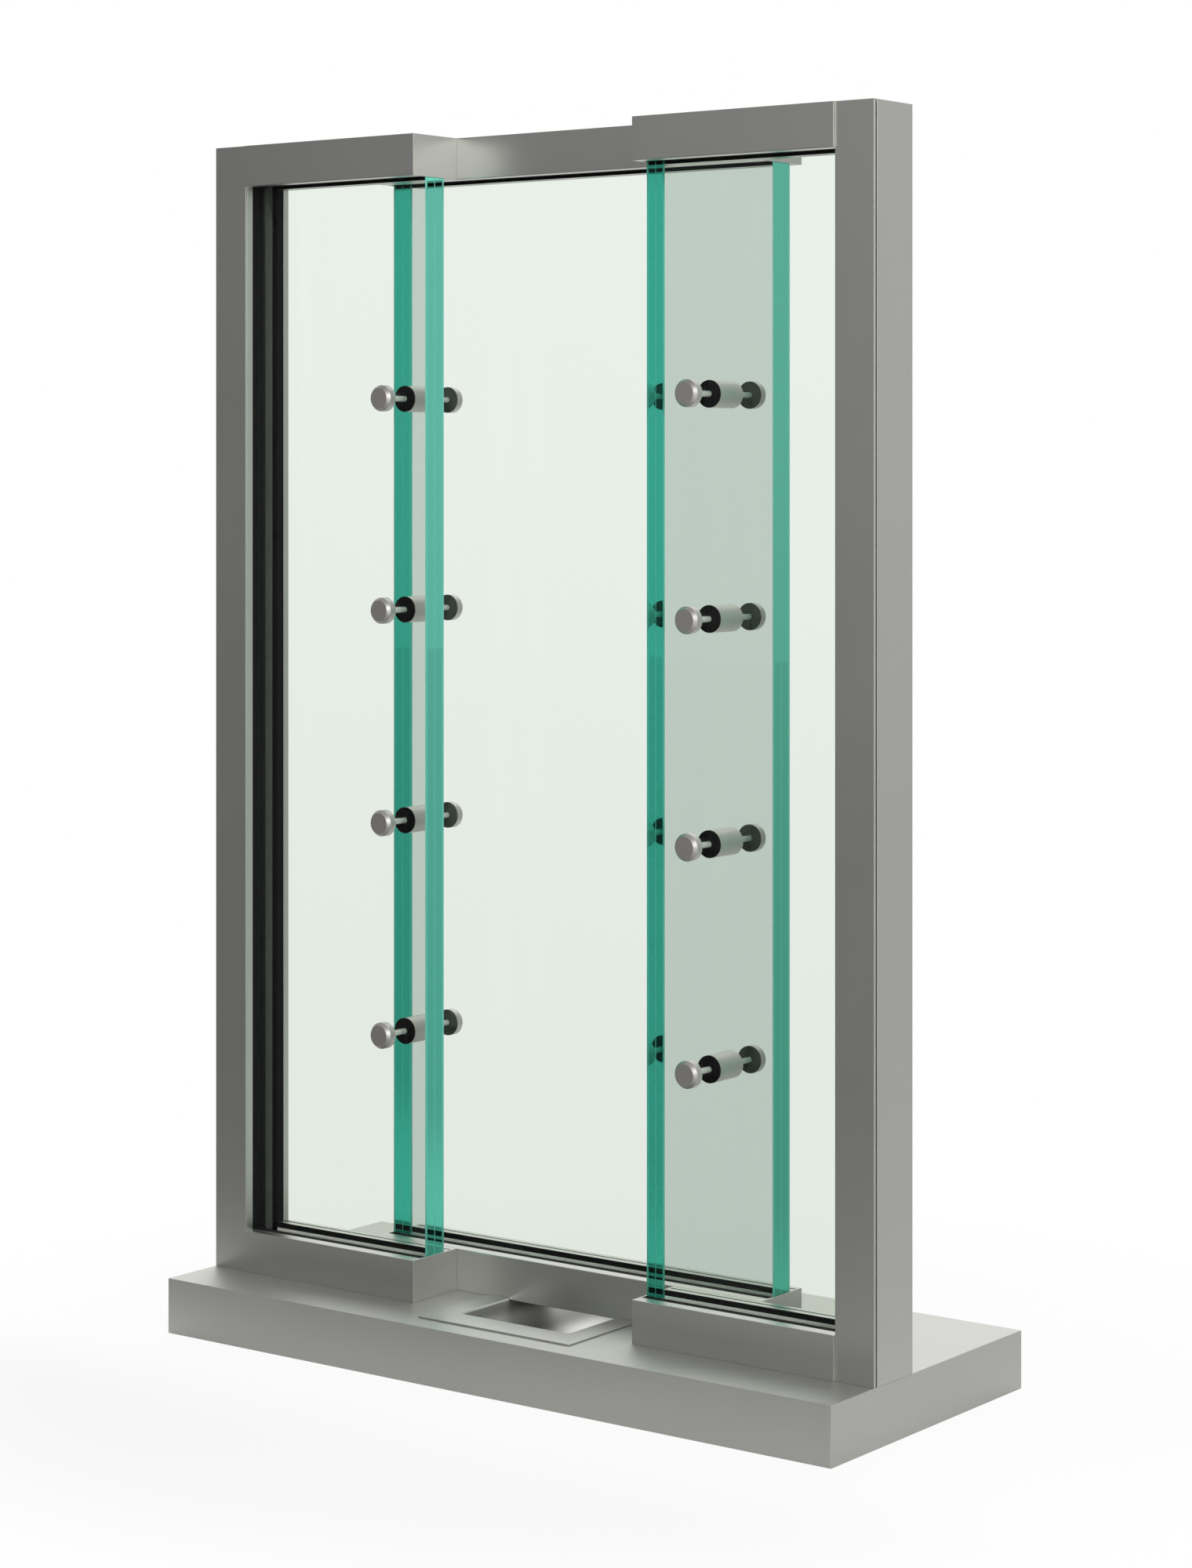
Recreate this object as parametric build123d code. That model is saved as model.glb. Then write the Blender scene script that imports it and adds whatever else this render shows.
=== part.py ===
from build123d import *
import os

# Baffled transaction window: two side panes stand in front of a centre pane, so that
# voices pass round the glass edges, and a scooped deal tray passes under the centre sill.
# Millimetres. +X right and +Z up as the customer sees it, -Y towards the customer.
# The origin is under the middle of the shelf.

# Overall sizes
FRAME_WIDTH = 914.4
FRAME_HEIGHT = 1317.6
SHELF_DEPTH = 381.0
SHELF_HEIGHT = 63.5
SHELF_OVERHANG = 78.2
BAY_OPENING = 304.8
PANE_LAP = 116.4

# Frame sections
SECTION_DEPTH = 77.0
SECTION_FACE = 47.6
PLATE = 3.2
BEND_RADIUS = 1.0
JAMB_SET_BACK = 2.4
FRONT_LIP = 14.4
POCKET_DEPTH = 25.4
SILL_REAR_LEG = 7.2
JAMB_REAR_LEG = 8.8
END_PLATE = 2.0
SHADOW_GROOVE = 2.4
GROOVE_DEPTH = 6.0

# Glass and its bedding
GLASS = 33.3
GLASS_BITE = 19.0
FRONT_GASKET = 9.4
GASKET_HEIGHT = 6.0
JAMB_GASKET_HEIGHT = 8.0
REAR_TAPE = 1.5
BACKER_HEIGHT = 6.0
JAMB_BACKER_HEIGHT = 10.6
BEAD_WIDTH = 8.2
BEAD_SHEET = 2.0
BLOCK_LENGTH = 100.0
EDGE_CLEARANCE = 0.3

# Standoffs that bolt the panes together
STANDOFF_COUNT = 4
STANDOFF_PITCH = 242.3
FIRST_STANDOFF = 293.0
STANDOFF_FROM_EDGE = 58.5
STANDOFF_DIAMETER = 30.0
CAP_LENGTH = 12.7
CAP_CHAMFER_LENGTH = 4.0
CAP_CHAMFER_WIDTH = 3.0
CAP_BORE_DEPTH = 8.0
STUD_DIAMETER = 6.35
STUD_CLEARANCE = 0.15
BORE_SIDES = 12
GLASS_HOLE = 8.0
WASHER = 1.5

# Shelf and deal tray
SHELF_SHEET = 2.0
SHELF_RETURN = 25.0
TRAY_SHEET = 2.0
TRAY_OPENING_WIDTH = 152.4
TRAY_OPENING_LENGTH = 254.6
TRAY_DEPTH = 44.0
TRAY_SIDE_FLANGE = 28.6
TRAY_END_FLANGE = 37.0
TRAY_CLEARANCE = 0.5

# Places that follow from the sizes
HALF_WIDTH = FRAME_WIDTH / 2
FRAME_FRONT = -SHELF_DEPTH / 2 + SHELF_OVERHANG
CENTRE_FRONT = FRAME_FRONT + SECTION_DEPTH
FRAME_FOOT = SHELF_HEIGHT
FRAME_MIDDLE = FRAME_FOOT + FRAME_HEIGHT / 2
JAMB_INSIDE = HALF_WIDTH - SECTION_FACE
SIDE_END = BAY_OPENING / 2
CENTRE_END = SIDE_END + PANE_LAP
POCKET_FLOOR = SECTION_FACE - POCKET_DEPTH
GLASS_FRONT = FRONT_LIP + FRONT_GASKET
GLASS_REAR = GLASS_FRONT + GLASS
GLASS_INSET = SECTION_FACE - GLASS_BITE
GLASS_FOOT = FRAME_FOOT + GLASS_INSET
GLASS_TOP = FRAME_FOOT + FRAME_HEIGHT - GLASS_INSET
SIDE_PANE_EDGE = SIDE_END + END_PLATE + EDGE_CLEARANCE
CENTRE_PANE_EDGE = CENTRE_END - END_PLATE - EDGE_CLEARANCE
STANDOFF_X = SIDE_PANE_EDGE + STANDOFF_FROM_EDGE
BEAD_FRONT = GLASS_REAR + REAR_TAPE


def rectangle(u0, u1, v0, v1):
    """A face in the drawing plane between two corners."""
    return Pos((u0 + u1) / 2, (v0 + v1) / 2) * Rectangle(u1 - u0, v1 - v0)


def along_x(profile, x0, x1, front):
    """A bar of a (depth, height) profile, which starts at the frame's foot."""
    drawn = Plane.YZ.offset(x0) * profile
    return extrude(Pos(0, front, FRAME_FOOT) * drawn, amount=x1 - x0)


def along_z(profile, z0, z1):
    """A post of a (width, depth) profile, measured from the left jamb's outer front corner."""
    return extrude(Pos(-HALF_WIDTH, FRAME_FRONT, z0) * profile, amount=z1 - z0)


def along_y(profile, y0, y1):
    """A bar of an (x, z) profile."""
    return extrude(Plane.XZ.offset(-y0) * profile, amount=y0 - y1)


def to_right(piece):
    return mirror(piece, about=Plane.YZ)


def to_head(piece):
    return mirror(piece, about=Plane.XY.offset(FRAME_MIDDLE))


def section_outline():
    """The section's outside, with the bend in the plate rounded at its front and rear top."""
    block = rectangle(0, SECTION_DEPTH, 0, SECTION_FACE)
    top_corners = block.vertices().group_by(Axis.Y)[-1]
    return fillet(top_corners, BEND_RADIUS)


def sill_profile():
    """Folded plate round a glazing pocket, closed underneath, with a bar for its rear leg."""
    pocket = rectangle(FRONT_LIP, SECTION_DEPTH - SILL_REAR_LEG, POCKET_FLOOR, SECTION_FACE)
    hollow = make_face(Polyline(
        (PLATE, PLATE), (SECTION_DEPTH - PLATE, PLATE), (SECTION_DEPTH - PLATE, POCKET_FLOOR - PLATE),
        (FRONT_LIP - PLATE, POCKET_FLOOR - PLATE), (FRONT_LIP - PLATE, SECTION_FACE - PLATE),
        (PLATE, SECTION_FACE - PLATE), close=True))
    return section_outline() - pocket - hollow


def end_plate(x0, front):
    return along_x(section_outline(), x0, x0 + END_PLATE, front)


def side_sill():
    """The left sill, from its jamb to the plate that closes its free end."""
    channel = along_x(sill_profile(), -JAMB_INSIDE, -SIDE_END - END_PLATE, FRAME_FRONT)
    return channel + end_plate(-SIDE_END - END_PLATE, FRAME_FRONT)


def centre_sill():
    """The sill behind the side sections, closed at both ends."""
    inner = CENTRE_END - END_PLATE
    channel = along_x(sill_profile(), -inner, inner, CENTRE_FRONT)
    return channel + end_plate(-CENTRE_END, CENTRE_FRONT) + end_plate(inner, CENTRE_FRONT)


def bead(x0, x1, front):
    """The removable glazing bead, an open-backed channel that stands on the pocket floor."""
    outer = rectangle(BEAD_FRONT, BEAD_FRONT + BEAD_WIDTH, POCKET_FLOOR, SECTION_FACE)
    inner = rectangle(
        BEAD_FRONT + BEAD_SHEET, BEAD_FRONT + BEAD_WIDTH - BEAD_SHEET,
        POCKET_FLOOR, SECTION_FACE - BEAD_SHEET)
    return along_x(outer - inner, x0, x1, front)


def jamb():
    """The left jamb behind its face plate: a pocket towards the glass, and a capped top."""
    front = JAMB_SET_BACK + PLATE
    body = rectangle(0, SECTION_FACE, front, SECTION_DEPTH)
    groove = rectangle(0, GROOVE_DEPTH, front, front + SHADOW_GROOVE)
    pocket = rectangle(POCKET_FLOOR, SECTION_FACE, FRONT_LIP, SECTION_DEPTH - JAMB_REAR_LEG)
    hollow = rectangle(
        PLATE, POCKET_FLOOR - PLATE, front + SHADOW_GROOVE + PLATE, SECTION_DEPTH - PLATE)
    top = FRAME_FOOT + FRAME_HEIGHT
    post = along_z(body - groove - pocket - hollow, FRAME_FOOT, top - PLATE)
    return post + along_z(body - groove, top - PLATE, top)


def jamb_face():
    """The flat plate on the front of the left jamb, set back a little from the sills."""
    profile = rectangle(0, SECTION_FACE, JAMB_SET_BACK, JAMB_SET_BACK + PLATE)
    return along_z(profile, FRAME_FOOT, FRAME_FOOT + FRAME_HEIGHT)


def front_strip():
    return rectangle(FRONT_LIP, GLASS_FRONT, SECTION_FACE - GASKET_HEIGHT, SECTION_FACE)


def rear_strip():
    return rectangle(GLASS_REAR, BEAD_FRONT, SECTION_FACE - GASKET_HEIGHT, SECTION_FACE)


def backer_strip():
    top = SECTION_FACE - GASKET_HEIGHT
    return rectangle(GLASS_REAR, BEAD_FRONT, top - BACKER_HEIGHT, top)


def side_strip(profile, jamb_profile):
    """A strip along the left sill, up the left jamb and along the left head."""
    low = along_x(profile, -JAMB_INSIDE, -SIDE_PANE_EDGE, FRAME_FRONT)
    return low + along_z(jamb_profile, GLASS_FOOT, GLASS_TOP) + to_head(low)


def side_front_gasket():
    jamb_profile = rectangle(SECTION_FACE - JAMB_GASKET_HEIGHT, SECTION_FACE, FRONT_LIP, GLASS_FRONT)
    return side_strip(front_strip(), jamb_profile)


def side_rear_gasket():
    jamb_profile = rectangle(
        SECTION_FACE - JAMB_GASKET_HEIGHT, SECTION_FACE, GLASS_REAR, SECTION_DEPTH - JAMB_REAR_LEG)
    return side_strip(rear_strip(), jamb_profile)


def side_backer():
    inner = SECTION_FACE - JAMB_GASKET_HEIGHT
    jamb_profile = rectangle(
        inner - JAMB_BACKER_HEIGHT, inner, GLASS_REAR, SECTION_DEPTH - JAMB_REAR_LEG)
    return side_strip(backer_strip(), jamb_profile)


def centre_strip(profile):
    """Two strips, along the centre sill and the centre head."""
    low = along_x(profile, -CENTRE_PANE_EDGE, CENTRE_PANE_EDGE, CENTRE_FRONT)
    return low + to_head(low)


def standoff_heights():
    return [FRAME_FOOT + FIRST_STANDOFF + row * STANDOFF_PITCH for row in range(STANDOFF_COUNT)]


def pane(x0, x1, front, hole_columns):
    """A laminated pane with a drilled hole for each standoff."""
    face = rectangle(x0, x1, GLASS_FOOT, GLASS_TOP)
    for x in hole_columns:
        for z in standoff_heights():
            face -= Pos(x, z) * RegularPolygon(GLASS_HOLE / 2, BORE_SIDES)
    return along_y(face, front + GLASS_FRONT, front + GLASS_REAR)


def setting_blocks(x0, x1, front):
    """Two blocks at the quarter points, which carry a pane on its pocket floor."""
    profile = rectangle(GLASS_FRONT, GLASS_REAR, POCKET_FLOOR, GLASS_INSET)
    blocks = []
    for share in (0.25, 0.75):
        middle = x0 + share * (x1 - x0)
        blocks.append(along_x(profile, middle - BLOCK_LENGTH / 2, middle + BLOCK_LENGTH / 2, front))
    return Compound(blocks)


def standoff_column(piece):
    """A piece of a standoff, centred on X = 0 and Z = 0, at each height on the left."""
    return Compound([Pos(-STANDOFF_X, 0, z) * piece for z in standoff_heights()])


def bore():
    """The hole that a stud passes through, just clear of it."""
    return RegularPolygon(STUD_DIAMETER / 2 + STUD_CLEARANCE, BORE_SIDES, major_radius=False)


def cap():
    """A turned cap, its chamfered face at Y = 0 and a blind bore for the stud behind."""
    radius = STANDOFF_DIAMETER / 2
    profile = make_face(Polyline(
        (0, 0), (radius - CAP_CHAMFER_WIDTH, 0), (radius, CAP_CHAMFER_LENGTH),
        (radius, CAP_LENGTH), (0, CAP_LENGTH), close=True))
    turned = revolve(profile, axis=Axis.Y)
    return turned - along_y(bore(), CAP_LENGTH - CAP_BORE_DEPTH, CAP_LENGTH)


def ring(y0, y1):
    """A round sleeve or washer on the stud."""
    return along_y(Circle(STANDOFF_DIAMETER / 2) - bore(), y0, y1)


FRONT_FACE = FRAME_FRONT + GLASS_FRONT
FRONT_BACK = FRAME_FRONT + GLASS_REAR
REAR_FACE = CENTRE_FRONT + GLASS_FRONT
REAR_BACK = CENTRE_FRONT + GLASS_REAR


def front_caps():
    return standoff_column(Pos(0, FRONT_FACE - CAP_LENGTH, 0) * cap())


def rear_caps():
    turned = mirror(cap(), about=Plane.XZ)
    return standoff_column(Pos(0, REAR_BACK + WASHER + CAP_LENGTH, 0) * turned)


def studs():
    start = FRONT_FACE - CAP_BORE_DEPTH
    end = REAR_BACK + WASHER + CAP_BORE_DEPTH
    return standoff_column(along_y(Circle(STUD_DIAMETER / 2), start, end))


def spacers():
    return standoff_column(ring(FRONT_BACK + WASHER, REAR_FACE))


def washers():
    """Behind the side pane, where the spacer bears, and behind the centre pane."""
    columns = []
    for y in (FRONT_BACK, REAR_BACK):
        columns += standoff_column(ring(y, y + WASHER)).solids()
    return Compound(columns)


def tray_middle():
    return CENTRE_FRONT + SECTION_DEPTH / 2


def scoop_circle(extra):
    """The scoop's arc as a whole circle, in (x, z), grown by a sheet or a clearance."""
    half = TRAY_OPENING_WIDTH / 2
    radius = (half ** 2 + TRAY_DEPTH ** 2) / (2 * TRAY_DEPTH)
    rim = SHELF_HEIGHT + TRAY_SHEET
    return Pos(0, rim - TRAY_DEPTH + radius) * Circle(radius + extra)


def deal_tray():
    """One scoop from the customer's side to the clerk's, with a flange on the shelf at each end."""
    middle = tray_middle()
    opening = TRAY_OPENING_LENGTH / 2
    half_flange = TRAY_OPENING_WIDTH / 2 + TRAY_SIDE_FLANGE
    below = rectangle(-half_flange, half_flange, 0, SHELF_HEIGHT)
    scoop = along_y(
        scoop_circle(TRAY_SHEET) & below, middle - opening - TRAY_SHEET, middle + opening + TRAY_SHEET)
    flange = along_y(
        rectangle(-half_flange, half_flange, SHELF_HEIGHT, SHELF_HEIGHT + TRAY_SHEET),
        middle - opening - TRAY_END_FLANGE, middle + opening + TRAY_END_FLANGE)
    under_sill = SECTION_DEPTH / 2 + TRAY_CLEARANCE
    flange -= along_y(
        rectangle(-half_flange, half_flange, SHELF_HEIGHT, SHELF_HEIGHT + TRAY_SHEET),
        middle - under_sill, middle + under_sill)
    return scoop + flange - along_y(scoop_circle(0), middle - opening, middle + opening)


def shelf():
    """A folded pan, open underneath, with returned feet and a cut-out for the tray."""
    half_depth = SHELF_DEPTH / 2
    outline = rectangle(-HALF_WIDTH, HALF_WIDTH, -half_depth, half_depth)
    pan = extrude(outline, amount=SHELF_HEIGHT)
    hollow = extrude(offset(outline, amount=-SHELF_SHEET), amount=SHELF_HEIGHT - 2 * SHELF_SHEET)
    mouth = extrude(offset(outline, amount=-SHELF_RETURN), amount=SHELF_SHEET)
    cut_out = along_y(
        scoop_circle(TRAY_SHEET + TRAY_CLEARANCE),
        tray_middle() - TRAY_OPENING_LENGTH / 2 - TRAY_SHEET - TRAY_CLEARANCE,
        tray_middle() + TRAY_OPENING_LENGTH / 2 + TRAY_SHEET + TRAY_CLEARANCE)
    return pan - Pos(0, 0, SHELF_SHEET) * hollow - mouth - cut_out


def pieces():
    """Every node by its name."""
    nodes = {"shelf": shelf(), "deal_tray": deal_tray()}
    side_bead = bead(-JAMB_INSIDE, -SIDE_PANE_EDGE, FRAME_FRONT)
    left = {
        "jamb": jamb(),
        "jamb_face": jamb_face(),
        "sill": side_sill(),
        "head": to_head(side_sill()),
        "sill_bead": side_bead,
        "head_bead": to_head(side_bead),
        "pane": pane(-HALF_WIDTH + GLASS_INSET, -SIDE_PANE_EDGE, FRAME_FRONT, [-STANDOFF_X]),
        "setting_blocks": setting_blocks(-JAMB_INSIDE, -SIDE_PANE_EDGE, FRAME_FRONT),
        "front_gasket": side_front_gasket(),
        "rear_gasket": side_rear_gasket(),
        "backer": side_backer(),
        "front_caps": front_caps(),
        "studs": studs(),
        "washers": washers(),
        "spacers": spacers(),
        "rear_caps": rear_caps(),
    }
    for name, piece in left.items():
        nodes["left_" + name] = piece
        nodes["right_" + name] = to_right(piece)
    centre_bead = bead(-CENTRE_PANE_EDGE, CENTRE_PANE_EDGE, CENTRE_FRONT)
    centre = {
        "sill": centre_sill(),
        "head": to_head(centre_sill()),
        "sill_bead": centre_bead,
        "head_bead": to_head(centre_bead),
        "pane": pane(-CENTRE_PANE_EDGE, CENTRE_PANE_EDGE, CENTRE_FRONT, [-STANDOFF_X, STANDOFF_X]),
        "setting_blocks": setting_blocks(-CENTRE_PANE_EDGE, CENTRE_PANE_EDGE, CENTRE_FRONT),
        "front_gasket": centre_strip(front_strip()),
        "rear_gasket": centre_strip(rear_strip()),
        "backer": centre_strip(backer_strip()),
    }
    for name, piece in centre.items():
        nodes["centre_" + name] = piece
    return nodes


os.makedirs("parts", exist_ok=True)
for name, piece in pieces().items():
    export_step(piece, "parts/" + name + ".step")
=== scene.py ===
import math

import bpy
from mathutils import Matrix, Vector


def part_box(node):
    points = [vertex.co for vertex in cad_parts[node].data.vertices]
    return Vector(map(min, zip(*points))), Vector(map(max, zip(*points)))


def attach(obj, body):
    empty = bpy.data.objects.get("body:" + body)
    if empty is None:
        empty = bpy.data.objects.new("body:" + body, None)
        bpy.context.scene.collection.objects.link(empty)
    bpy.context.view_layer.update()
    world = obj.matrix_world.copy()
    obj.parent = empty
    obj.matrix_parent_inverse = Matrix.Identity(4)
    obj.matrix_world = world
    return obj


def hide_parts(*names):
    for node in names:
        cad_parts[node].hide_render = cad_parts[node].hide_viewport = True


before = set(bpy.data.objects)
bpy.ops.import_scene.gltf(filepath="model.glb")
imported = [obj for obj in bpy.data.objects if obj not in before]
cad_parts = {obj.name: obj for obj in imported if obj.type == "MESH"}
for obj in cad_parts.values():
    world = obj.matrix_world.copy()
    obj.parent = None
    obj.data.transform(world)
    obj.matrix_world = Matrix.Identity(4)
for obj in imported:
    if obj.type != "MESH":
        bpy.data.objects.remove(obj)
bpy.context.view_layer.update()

# The camera stands level, right of the window and in front of it. Metres.
CAMERA_PLACE = (2.3424, -3.1025, 0.9995)
CAMERA_TURN = math.radians(36.813)
CAMERA_LENS = 79.29
CAMERA_RISE = -0.1991

# Standoffs, read from the studs on the right
STUD_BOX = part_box("right_studs")
STUD_RADIUS = (STUD_BOX[1].x - STUD_BOX[0].x) / 2
STANDOFF_X = (STUD_BOX[0].x + STUD_BOX[1].x) / 2
STANDOFF_ROWS = 4
STANDOFF_LOW = STUD_BOX[0].z + STUD_RADIUS
STANDOFF_HIGH = STUD_BOX[1].z - STUD_RADIUS
STANDOFF_PITCH = (STANDOFF_HIGH - STANDOFF_LOW) / (STANDOFF_ROWS - 1)
BORE_REACH = 0.006

# Where the right jamb's inner face stands
JAMB_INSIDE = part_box("right_jamb")[0].x

SIDES = ("left", "right")
GROUPS = ("left", "centre", "right")

# Widths of the eased edges
SHELF_EASE = 0.0007
TRAY_EASE = 0.0005
SECTION_EASE = 0.0004
SMALL_EASE = 0.0003
WASHER_EASE = 0.0002
PANE_ARRIS = 0.0008

# How a CAD node's triangles are merged before its edges are eased
MERGE_DISTANCE = 0.00001
FLAT_ANGLE = math.radians(0.5)
SHARP_ANGLE = math.radians(30)

# Materials of a pane, in the order of its slots
FACE, EDGE, BORE, BEDDED = range(4)

FLOOR_SIZE = 24.0
LAMP_PLACE = (3.6, -2.4, 2.6)
LAMP_AIM = (0.0, 0.0, 0.75)
LAMP_SIZE = 2.4
LAMP_POWER = 40.0


class Shade:
    """A socket in a shader. Python's operators on it add Math nodes."""

    def __init__(self, tree, socket=None):
        self.tree = tree
        self.socket = socket

    def node(self, kind, settings=None, inputs=None, output=0):
        """Adds any node: its settings first, then the values or links of its inputs."""
        made = self.tree.nodes.new(kind)
        for name, value in (settings or {}).items():
            setattr(made, name, value)
        for key, value in (inputs or {}).items():
            if isinstance(value, Shade):
                self.tree.links.new(value.socket, made.inputs[key])
            else:
                made.inputs[key].default_value = value
        return Shade(self.tree, made.outputs[output]) if made.outputs else None

    def math(self, operation, *values):
        return self.node("ShaderNodeMath", {"operation": operation}, dict(enumerate(values)))

    def __add__(self, other):
        return self.math("ADD", self, other)

    def __sub__(self, other):
        return self.math("SUBTRACT", self, other)

    def __mul__(self, other):
        return self.math("MULTIPLY", self, other)

    def __pow__(self, other):
        return self.math("POWER", self, other)

    def __abs__(self):
        return self.math("ABSOLUTE", self)

    def __rsub__(self, other):
        return self.math("SUBTRACT", other, self)

    __radd__ = __add__
    __rmul__ = __mul__


def new_shader(name):
    """An empty material and the start of its shader."""
    material = bpy.data.materials.new(name)
    material.use_nodes = True
    material.node_tree.nodes.clear()
    return material, Shade(material.node_tree)


def finish_shader(shade, surface):
    shade.node("ShaderNodeOutputMaterial", {}, {"Surface": surface})


def place(shade):
    """The point's own coordinates on the window, in metres."""
    return shade.node("ShaderNodeTexCoord", output="Object")


def parts_of(vector):
    split = vector.node("ShaderNodeSeparateXYZ", {}, {0: vector})
    outputs = split.socket.node.outputs
    return [Shade(vector.tree, outputs[i]) for i in range(3)]


def noise(vector, stretch, detail=2.0, roughness=0.5):
    """Noise with its own number of waves in a metre along each axis."""
    stretched = vector.node("ShaderNodeVectorMath", {"operation": "MULTIPLY"}, {0: vector, 1: stretch})
    settings = {"noise_dimensions": "3D"}
    inputs = {"Vector": stretched, "Scale": 1.0, "Detail": detail, "Roughness": roughness}
    return vector.node("ShaderNodeTexNoise", settings, inputs)


def ramp(value, low, high, start=0.0, end=1.0):
    """Goes smoothly from start to end while value goes from low to high."""
    settings = {"interpolation_type": "SMOOTHSTEP"}
    inputs = {"Value": value, "From Min": low, "From Max": high, "To Min": start, "To Max": end}
    return value.node("ShaderNodeMapRange", settings, inputs)


def blend(factor, first, second):
    """A colour between two colours."""
    return factor.node(
        "ShaderNodeMix", {"data_type": "RGBA"}, {0: factor, 6: first, 7: second}, output=2)


def bump(shade, height, strength, distance):
    return shade.node("ShaderNodeBump", {}, {"Height": height, "Strength": strength, "Distance": distance})


def principled(shade, inputs):
    return shade.node("ShaderNodeBsdfPrincipled", {}, inputs)


def mix_shaders(shade, factor, first, second):
    return shade.node("ShaderNodeMixShader", {}, {0: factor, 1: first, 2: second})


def brushed_stainless(name, along, dullness, scoop_below=0.0):
    """Satin stainless, brushed along one axis, with faint longer streaks and handling marks.
    Below a height it is the scoop, with painted light in bands: painted shade down its left wall and a
    painted reflection on its floor towards the right slope."""
    material, shade = new_shader(name)
    point = place(shade)
    x, y, z = parts_of(point)
    fine = [2600.0, 2600.0, 2600.0]
    fine[along] = 26.0
    streak = [320.0, 320.0, 320.0]
    streak[along] = 3.0
    hairs = noise(point, fine, detail=2.0, roughness=0.6)
    streaks = noise(point, streak, detail=3.0, roughness=0.55)
    clouds = noise(point, (7.0, 7.0, 7.0), detail=4.0, roughness=0.6)
    tone = (hairs - 0.5) * 0.22 + (streaks - 0.5) * 0.14 + (clouds - 0.5) * 0.10 + 0.5
    plain_steel = blend(tone, (0.455, 0.457, 0.432, 1.0), (0.585, 0.588, 0.560, 1.0))
    # Painted light in the scoop: a lit band and then painted shade down the left wall, and a painted
    # reflection on the floor towards the right slope. The scoop is also less metallic.
    painted_wall_shading = ramp(x, -0.072, -0.062) * 0.45 - ramp(x, -0.062, -0.046) * 0.32
    painted_slope_reflection = ramp(x, -0.044, -0.024) * 0.70
    painted_light_tone = painted_wall_shading + painted_slope_reflection + (tone - 0.5) * 0.4 + 0.02
    painted_scoop_colour = blend(painted_light_tone, (0.140, 0.143, 0.136, 1.0), (0.700, 0.704, 0.676, 1.0))
    outside_scoop = ramp(z, scoop_below - 0.003, scoop_below - 0.0005)
    colour = blend(outside_scoop, painted_scoop_colour, plain_steel)
    roughness = (hairs - 0.5) * 0.08 + (clouds - 0.5) * 0.08 + dullness
    normal = bump(shade, hairs * 0.7 + streaks * 0.3, 0.06, 0.0004)
    metallic = outside_scoop * 0.35 + 0.65
    surface = principled(shade, {
        "Base Color": colour, "Metallic": metallic, "Roughness": roughness, "Normal": normal})
    finish_shader(shade, surface)
    return material


def turned_stainless(name, dark, pale, metal):
    """Lathe-turned steel: fine rings about each standoff's axis, between a dark and a pale grey."""
    material, shade = new_shader(name)
    point = place(shade)
    x, y, z = parts_of(point)
    across = abs(x) - STANDOFF_X
    low = STANDOFF_LOW - STANDOFF_PITCH / 2
    up = (z - low).math("MODULO", z - low, STANDOFF_PITCH) - STANDOFF_PITCH / 2
    radius = (across * across + up * up) ** 0.5
    turned = shade.node("ShaderNodeCombineXYZ", {}, {0: radius, 1: y, 2: 0.0})
    rings = noise(turned, (2200.0, 2200.0, 1.0), detail=2.0, roughness=0.6)
    clouds = noise(point, (60.0, 60.0, 60.0), detail=3.0)
    tone = (rings - 0.5) * 0.35 + (clouds - 0.5) * 0.12 + 0.5
    colour = blend(tone, (dark, dark * 0.96, dark * 0.93, 1.0), (pale, pale * 0.96, pale * 0.93, 1.0))
    roughness = (rings - 0.5) * 0.10 + 0.42
    normal = bump(shade, rings, 0.08, 0.0003)
    surface = principled(shade, {
        "Base Color": colour, "Metallic": metal, "Roughness": roughness, "Normal": normal})
    finish_shader(shade, surface)
    return material


def black_rubber(name, painted_grey_from):
    """Matt rubber with a dusty bloom. The pieces that lie behind a depth get a painted lighter grey, which
    stands in for the light on them behind the glass.
    """
    material, shade = new_shader(name)
    point = place(shade)
    x, y, z = parts_of(point)
    bloom = noise(point, (55.0, 55.0, 55.0), detail=4.0, roughness=0.65)
    pores = noise(point, (1500.0, 1500.0, 1500.0), detail=2.0)
    black = blend(bloom, (0.0045, 0.004, 0.0045, 1.0), (0.016, 0.015, 0.0155, 1.0))
    # Painted light: behind the depth the same rubber is painted greyer.
    painted_light_tone = blend(bloom, (0.060, 0.068, 0.062, 1.0), (0.100, 0.114, 0.104, 1.0))
    colour = blend(y.math("GREATER_THAN", y, painted_grey_from), black, painted_light_tone)
    roughness = (bloom - 0.5) * 0.2 + 0.80
    surface = principled(shade, {
        "Base Color": colour, "Roughness": roughness, "Specular IOR Level": 0.08,
        "Normal": bump(shade, pores, 0.15, 0.0002)})
    finish_shader(shade, surface)
    return material


def grey_foam():
    """Smooth-skinned pale backer foam beside the gaskets, painted dark in the jambs as shade."""
    material, shade = new_shader("grey_backer_foam")
    point = place(shade)
    x, y, z = parts_of(point)
    cells = shade.node("ShaderNodeTexVoronoi", {"feature": "F1"}, {"Vector": point, "Scale": 900.0})
    clouds = noise(point, (40.0, 40.0, 40.0), detail=3.0)
    fleck = cells * 0.5 + clouds * 0.5
    pale = blend(fleck, (0.88, 0.88, 0.85, 1.0), (0.97, 0.97, 0.94, 1.0))
    # Painted shade: in the jambs the same foam is painted dark, as shade falls there.
    dark = blend(fleck, (0.10, 0.11, 0.10, 1.0), (0.20, 0.21, 0.195, 1.0))
    painted_shade_in_jambs = ramp(abs(x), JAMB_INSIDE - 0.001, JAMB_INSIDE + 0.001)
    colour = blend(painted_shade_in_jambs, pale, dark)
    surface = principled(shade, {
        "Base Color": colour, "Roughness": clouds * 0.1 + 0.14, "Specular IOR Level": 1.0,
        "Normal": bump(shade, cells, 0.2, 0.0002)})
    finish_shader(shade, surface)
    return material


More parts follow.
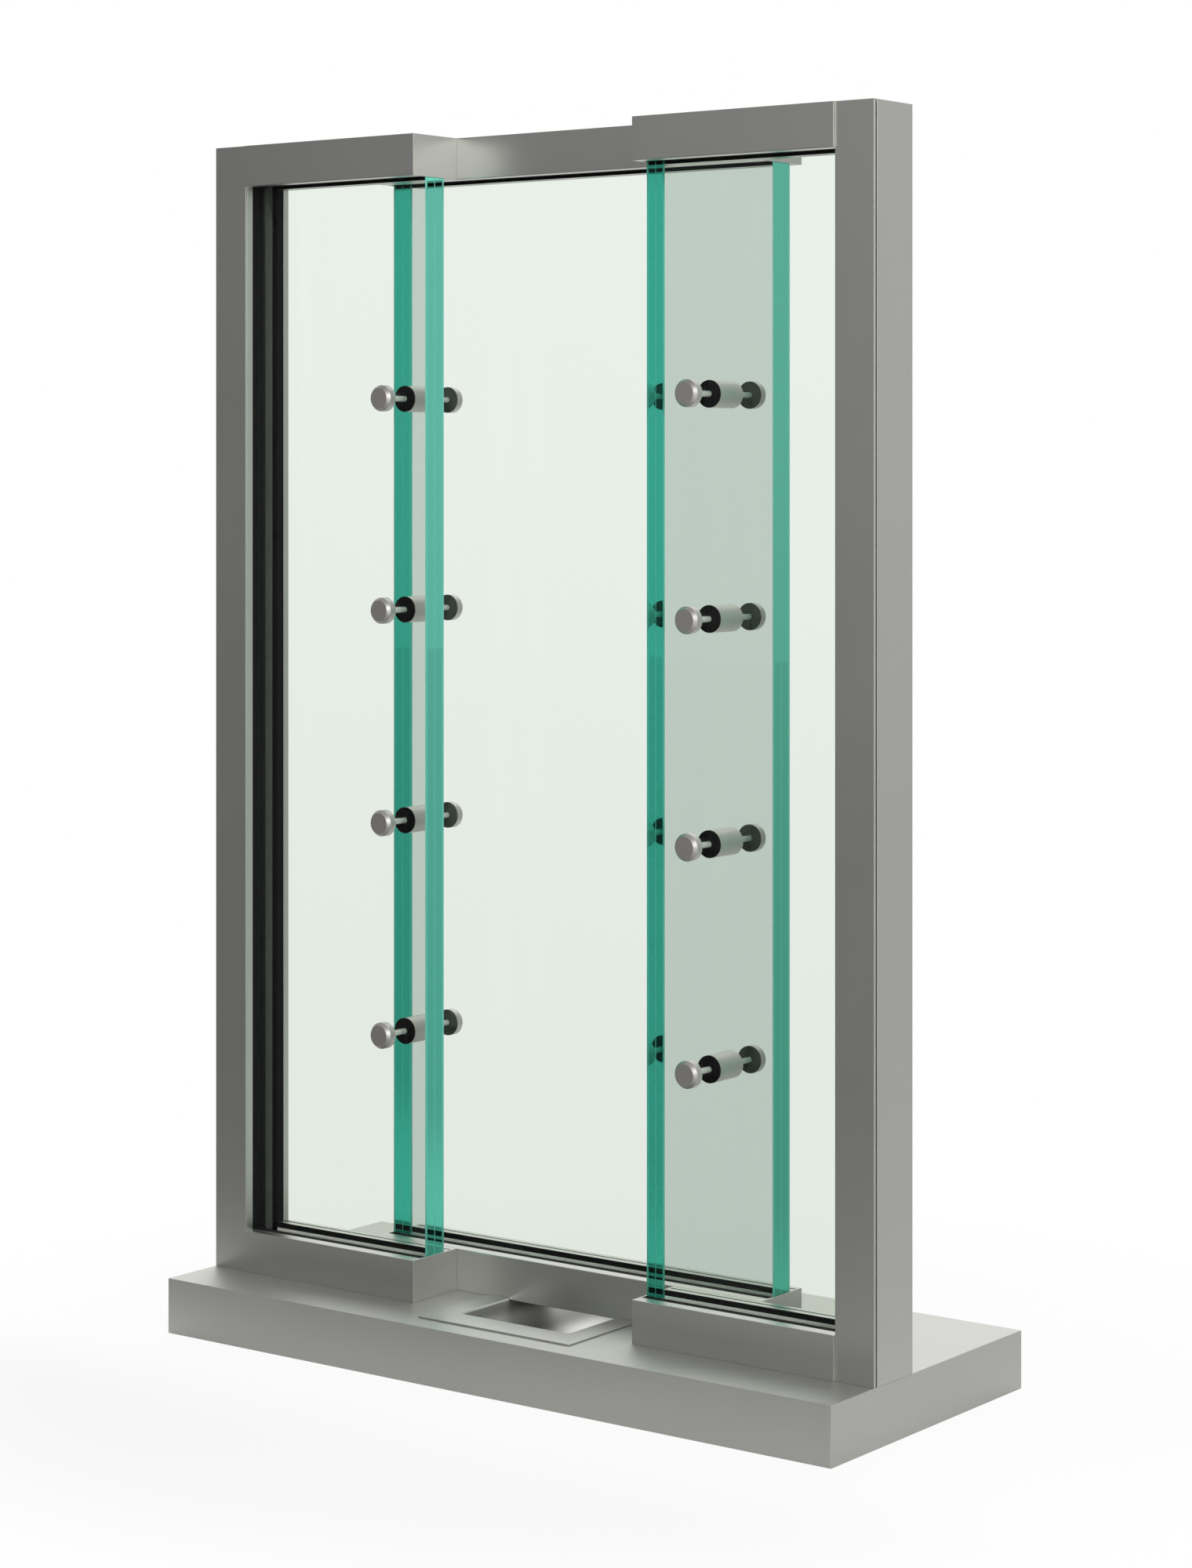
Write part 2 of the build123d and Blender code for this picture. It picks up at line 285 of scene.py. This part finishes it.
def glass_face():
    """The clear face of a laminated pane: a faint green tint, deeper behind another pane."""
    material, shade = new_shader("laminated_glass_face")
    point = place(shade)
    x, y, z = parts_of(point)
    smears = noise(point, (9.0, 9.0, 5.0), detail=4.0, roughness=0.6)
    # Painted shade: the tint is deeper towards the bottom of the pane.
    high = shade.node("ShaderNodeBsdfTransparent", {}, {"Color": (0.914, 0.944, 0.910, 1.0)})
    low = shade.node("ShaderNodeBsdfTransparent", {}, {"Color": (0.888, 0.917, 0.882, 1.0)})
    single = mix_shaders(shade, ramp(z, 0.1, 1.4), low, high)
    behind = shade.node("ShaderNodeBsdfTransparent", {}, {"Color": (0.799, 0.833, 0.822, 1.0)})
    layers = shade.node("ShaderNodeLightPath", output="Transparent Depth")
    tinted = mix_shaders(shade, layers.math("GREATER_THAN", layers, 1.5), single, behind)
    faint = shade.node("ShaderNodeBsdfTransparent", {}, {"Color": (0.950, 0.958, 0.948, 1.0)})
    camera = shade.node("ShaderNodeLightPath", output="Is Camera Ray")
    clear = mix_shaders(shade, camera, faint, tinted)
    facing = shade.node("ShaderNodeLayerWeight", {}, {"Blend": 0.5}, output="Facing")
    mirror = principled(shade, {
        "Base Color": (0.95, 1.0, 0.97, 1.0), "Metallic": 1.0, "Roughness": smears * 0.03 + 0.004})
    surface = mix_shaders(shade, facing ** 5.0 * 0.96 + 0.01 + smears * 0.006, clear, mirror)
    finish_shader(shade, surface)
    return material


def glass_edge(name, middle, painted_light_outside, painted_light_inside):
    """The polished edge of two green plies: mirror flats, ground borders and the interlayer between.
    It has painted light: lighter towards the top, painted shade on the side seen through the pane, and
    each pane's own painted lightness from outside and through the pane."""
    material, shade = new_shader(name)
    point = place(shade)
    x, y, z = parts_of(point)
    from_middle = abs(y - middle)
    interlayer = ramp(from_middle, 0.0005, 0.0008, 1.0, 0.0)
    border = ramp(from_middle, 0.0128, 0.0134)
    ground = interlayer.math("MAXIMUM", interlayer, border)
    drift = noise(point, (12.0, 12.0, 2.0), detail=2.0)
    # Painted light: the edge is lighter towards the top.
    height = ramp(z, 0.0, 1.2)
    light = drift * 0.1
    # Painted shade: where the edge is seen through the pane it takes the deeper colour.
    inside = shade.node("ShaderNodeNewGeometry", output="Backfacing")
    outer_tone = height * 0.6 + light + painted_light_outside
    outer = blend(outer_tone, (0.070, 0.480, 0.360, 1.0), (0.185, 0.720, 0.580, 1.0))
    deep_tone = height * 0.4 + light + painted_light_inside
    deep = blend(deep_tone, (0.040, 0.480, 0.360, 1.0), (0.064, 0.700, 0.550, 1.0))
    polished = blend(inside, outer, deep)
    colour = blend(ground * 0.4, polished, (0.220, 0.740, 0.610, 1.0))
    surface = principled(shade, {
        "Base Color": colour, "Metallic": 1.0 - ground * 0.25, "Roughness": ground * 0.30 + 0.022})
    finish_shader(shade, surface)
    return material


def bedded_edge():
    """The edge of a pane that lies in black compound inside a section."""
    material, shade = new_shader("bedded_glass_edge")
    point = place(shade)
    lumps = noise(point, (120.0, 120.0, 120.0), detail=4.0)
    colour = blend(lumps, (0.004, 0.005, 0.005, 1.0), (0.012, 0.014, 0.013, 1.0))
    surface = principled(shade, {
        "Base Color": colour, "Roughness": lumps * 0.2 + 0.5, "Normal": bump(shade, lumps, 0.2, 0.0005)})
    finish_shader(shade, surface)
    return material


def glass_bore():
    """The clear wall of a drilled hole."""
    material, shade = new_shader("drilled_glass_bore")
    point = place(shade)
    drill = noise(point, (400.0, 3000.0, 400.0), detail=2.0)
    clear = shade.node("ShaderNodeBsdfTransparent", {}, {"Color": (0.93, 0.97, 0.95, 1.0)})
    ground = principled(shade, {"Base Color": (0.55, 0.75, 0.68, 1.0), "Roughness": 0.4})
    surface = mix_shaders(shade, drill * 0.06 + 0.02, clear, ground)
    finish_shader(shade, surface)
    return material


def select_only(piece):
    bpy.ops.object.select_all(action="DESELECT")
    piece.select_set(True)
    bpy.context.view_layer.objects.active = piece


def eased(node, width, segments=2):
    """A merged copy of a CAD node with its sharp edges eased, which shows in its place.
    It stays inside the node's own box."""
    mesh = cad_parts[node].data.copy()
    mesh.materials.clear()
    piece = bpy.data.objects.new(node + "_eased", mesh)
    bpy.context.scene.collection.objects.link(piece)
    select_only(piece)
    bpy.ops.object.mode_set(mode="EDIT")
    bpy.ops.mesh.select_all(action="SELECT")
    bpy.ops.mesh.remove_doubles(threshold=MERGE_DISTANCE)
    bpy.ops.mesh.dissolve_limited(angle_limit=FLAT_ANGLE)
    bpy.ops.object.mode_set(mode="OBJECT")
    bpy.ops.object.shade_smooth_by_angle(angle=SHARP_ANGLE)
    bevel = piece.modifiers.new("eased_edges", "BEVEL")
    bevel.width = width
    bevel.segments = segments
    bevel.limit_method = "ANGLE"
    bevel.angle_limit = SHARP_ANGLE
    bevel.use_clamp_overlap = True
    bevel.harden_normals = True
    bpy.ops.object.modifier_apply(modifier=bevel.name)
    low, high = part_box(node)
    for vertex in piece.data.vertices:
        vertex.co = [min(max(vertex.co[axis], low[axis]), high[axis]) for axis in range(3)]
    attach(piece, "root")
    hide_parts(node)
    return piece


def dress(node, material, width):
    """An eased copy of a CAD node in one material."""
    piece = eased(node, width)
    piece.data.materials.append(material)
    return piece


def near_standoff(centre):
    """True on the wall of a hole that a stud passes through."""
    across = abs(abs(centre.x) - STANDOFF_X)
    row = round((centre.z - STANDOFF_LOW) / STANDOFF_PITCH)
    up = abs(centre.z - STANDOFF_LOW - row * STANDOFF_PITCH)
    return across < BORE_REACH and up < BORE_REACH


def dress_pane(node, face, edge, bore, bedded):
    """A pane with clear faces, polished green edges with a fine arris, clear bores and bedded edges."""
    piece = eased(node, PANE_ARRIS)
    for material in (face, edge, bore, bedded):
        piece.data.materials.append(material)
    for polygon in piece.data.polygons:
        if abs(polygon.normal.y) > 0.999:
            polygon.material_index = FACE
        elif near_standoff(polygon.center):
            polygon.material_index = BORE
        elif abs(polygon.normal.z) > 0.5 or abs(polygon.center.x) > JAMB_INSIDE:
            polygon.material_index = BEDDED
        else:
            polygon.material_index = EDGE
    return piece


def dress_window():
    along_x = brushed_stainless("stainless_brushed_along_sections", 0, 0.37)
    along_y = brushed_stainless("stainless_brushed_along_tray", 1, 0.42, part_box("deal_tray")[1].z)
    along_z = brushed_stainless("stainless_brushed_up_jambs", 2, 0.37)
    duller = brushed_stainless("stainless_brushed_along_shelf", 0, 0.50)
    turned = turned_stainless("turned_stainless", 0.45, 0.58, 1.0)
    dull = turned_stainless("dull_turned_stainless", 0.42, 0.52, 0.6)
    # Painted light: the studs take a paler, less metallic copy of the turned steel, lighter than the caps
    # where they stand in the glass bores.
    bright = turned_stainless("turned_stainless_painted_lighter", 0.82, 0.95, 0.3)
    rubber = black_rubber("black_gasket_rubber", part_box("shelf")[1].y)
    washer_rubber = black_rubber("washer_rubber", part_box("centre_pane")[0].y)
    foam = grey_foam()
    face = glass_face()
    bore = glass_bore()
    bedded = bedded_edge()

    dress("shelf", duller, SHELF_EASE)
    dress("deal_tray", along_y, TRAY_EASE)
    for group in GROUPS:
        for name in ("sill", "head", "sill_bead", "head_bead"):
            dress(group + "_" + name, along_x, SECTION_EASE)
        for name in ("front_gasket", "rear_gasket", "setting_blocks"):
            dress(group + "_" + name, rubber, SMALL_EASE)
        dress(group + "_backer", foam, SMALL_EASE)
        low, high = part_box(group + "_pane")
        # Painted lightness of the edge from outside and through the pane
        pale = (0.02, 0.42) if group == "centre" else (0.26, 0.10)
        edge = glass_edge(group + "_glass_edge", (low.y + high.y) / 2, *pale)
        dress_pane(group + "_pane", face, edge, bore, bedded)
    for side in SIDES:
        for name in ("jamb", "jamb_face"):
            dress(side + "_" + name, along_z, SECTION_EASE)
        for name in ("front_caps", "rear_caps"):
            dress(side + "_" + name, turned, SMALL_EASE)
        dress(side + "_spacers", dull, SMALL_EASE)
        dress(side + "_studs", bright, SMALL_EASE)
        dress(side + "_washers", washer_rubber, WASHER_EASE)


def light_rays(shade):
    """Three values: each is 1 for a ray from the camera, from a reflection or through glass."""
    return [shade.node("ShaderNodeLightPath", output="Is %s Ray" % kind)
            for kind in ("Camera", "Glossy", "Transmission")]


def make_world():
    """A white backdrop behind the window, a dim room at its left and a bright one at the viewer's side."""
    world = bpy.data.worlds.new("studio")
    bpy.context.scene.world = world
    world.use_nodes = True
    world.node_tree.nodes.clear()
    shade = Shade(world.node_tree)
    direction = shade.node("ShaderNodeTexCoord", output="Generated")
    x, y, z = parts_of(direction)
    room = ramp(x, -0.80, -0.40, 0.13, 0.49)
    backdrop = ramp(x, -0.2, 0.5, 0.90, 0.70)
    behind = ramp(y, -0.2, 0.4)
    towards_viewer = x * 0.55 - y * 0.83
    viewer = ramp(towards_viewer, 0.62, 0.97) * ramp(z, 0.28, 0.44, 1.0, 0.10)
    above = ramp(z, 0.4, 0.95)
    zenith = ramp(y, -0.5, 0.3, 0.40, 0.85)
    high = ramp(z, 0.2, 0.5) * ramp(y, 0.0, 0.5) * ramp(x, -0.2, 0.4, 1.0, 0.0)
    level = room + (backdrop - room) * behind + viewer * ramp(z, 0.12, 0.30, 0.66, 5.2)
    level = level + (zenith - level) * above + high * 0.9
    camera, mirrored, through = light_rays(shade)
    seen = camera.math("MAXIMUM", camera, through)
    strength = level + (1.0 - level) * seen
    background = shade.node(
        "ShaderNodeBackground", {}, {"Color": (1.0, 1.0, 1.0, 1.0), "Strength": strength})
    shade.node("ShaderNodeOutputWorld", {}, {"Surface": background})


def make_floor():
    """A pale floor that shows white round the window and keeps its shadow.
    It is greyer in front and at the back on the right, as the steel mirrors it."""
    bpy.ops.object.select_all(action="DESELECT")
    bpy.ops.mesh.primitive_plane_add(size=FLOOR_SIZE, location=(0.0, 0.0, 0.0))
    floor = bpy.context.object
    floor.name = "floor"
    material, shade = new_shader("pale_floor")
    point = place(shade)
    x, y, z = parts_of(point)
    grain = noise(point, (3.0, 3.0, 3.0), detail=3.0)
    paper = blend(grain, (0.86, 0.86, 0.86, 1.0), (0.90, 0.90, 0.90, 1.0))
    paper = blend(ramp(x, 0.3, 0.9) * ramp(y, -0.3, 0.3), paper, (0.62, 0.62, 0.62, 1.0))
    near = ramp(y, -0.46, -0.20)
    sweep = near.math("MAXIMUM", near, ramp(x, 0.6, 1.4))
    front = blend(ramp(x, -0.4, 0.2), (0.16, 0.16, 0.16, 1.0), (0.34, 0.34, 0.34, 1.0))
    matt = principled(shade, {"Base Color": blend(sweep, front, paper), "Roughness": 0.9})
    white = shade.node("ShaderNodeEmission", {}, {"Color": (1.0, 1.0, 1.0, 1.0), "Strength": 1.0})
    camera, mirrored, through = light_rays(shade)
    far = ramp((x * x + y * y) ** 0.5, 0.55, 0.95, 0.91, 1.0)
    behind = ramp(y, 0.1, 0.6) * ramp(x, -0.2, 0.8, 1.0, 0.1)
    seen = camera.math("MAXIMUM", camera * far, mirrored.math("MAXIMUM", mirrored, through) * behind)
    surface = mix_shaders(shade, seen, matt, white)
    finish_shader(shade, surface)
    floor.data.materials.append(material)


def make_lamp():
    """A large soft lamp right of the viewer and above the window."""
    data = bpy.data.lights.new("soft_lamp", "AREA")
    data.shape = "SQUARE"
    data.size = LAMP_SIZE
    data.energy = LAMP_POWER
    lamp = bpy.data.objects.new("soft_lamp", data)
    lamp.location = LAMP_PLACE
    aim = Vector(LAMP_AIM) - lamp.location
    lamp.rotation_euler = aim.to_track_quat("-Z", "Y").to_euler()
    bpy.context.scene.collection.objects.link(lamp)


def make_camera():
    data = bpy.data.cameras.new("camera")
    data.lens = CAMERA_LENS
    data.sensor_width = 36.0
    data.shift_y = CAMERA_RISE
    data.clip_end = 100.0
    camera = bpy.data.objects.new("camera", data)
    camera.location = CAMERA_PLACE
    camera.rotation_euler = (math.pi / 2, 0.0, CAMERA_TURN)
    bpy.context.scene.collection.objects.link(camera)
    bpy.context.scene.camera = camera


dress_window()
make_world()
make_floor()
make_lamp()
make_camera()
bpy.context.scene.view_settings.view_transform = "Standard"
